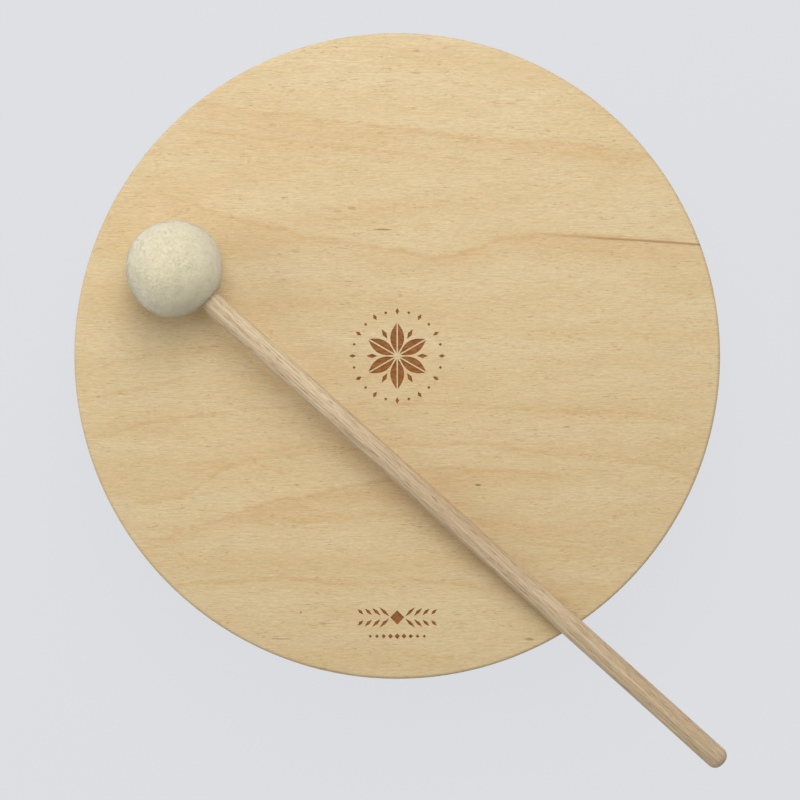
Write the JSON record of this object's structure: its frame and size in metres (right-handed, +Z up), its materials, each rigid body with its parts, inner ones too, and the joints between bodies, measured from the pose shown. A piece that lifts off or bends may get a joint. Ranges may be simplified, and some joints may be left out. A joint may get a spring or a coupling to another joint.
{
  "type": "wooden-headed frame drum with mallet",
  "caption": "Shallow round hand drum with a thin plywood head glued on a bent laminated hoop, open at the back, and a felt ball mallet lying across the head.",
  "frame": {"origin": "middle of the base of the box round drum and mallet, on the plane that the hoop's open edge stands on; the drum's axis is at X = -1.1 mm, Y = 15.1 mm", "axes": "+Z up out of the playing face, +X to the right and +Y away from the player as the drum is seen from above, with the mallet's butt towards +X and -Y"},
  "size_m": [0.2222, 0.2502, 0.0878],
  "materials": {
    "birch_face": "satin, sanded birch veneer",
    "birch_core": "matte end grain",
    "beech_hoop": "satin, bent beech veneer",
    "beech_shaft": "satin, turned beech",
    "wool_felt": "fuzzy undyed wool felt"
  },
  "bodies": {
    "drum": {"head_face_veneer": "birch_face", "head_core_veneer": "birch_core", "head_back_veneer": "birch_face", "hoop_ply_1": "beech_hoop", "hoop_ply_2": "beech_hoop", "hoop_ply_3": "beech_hoop", "hoop_ply_4": "beech_hoop", "hoop_ply_5": "beech_hoop"},
    "mallet": {"mallet_ball": "wool_felt", "mallet_shaft": "beech_shaft"}
  },
  "joints": [
    {"name": "mallet_lift", "type": "slide", "parent": "drum", "child": "mallet", "axis": [0, 0, 1], "range_m": [0, 0.12]}
  ]
}
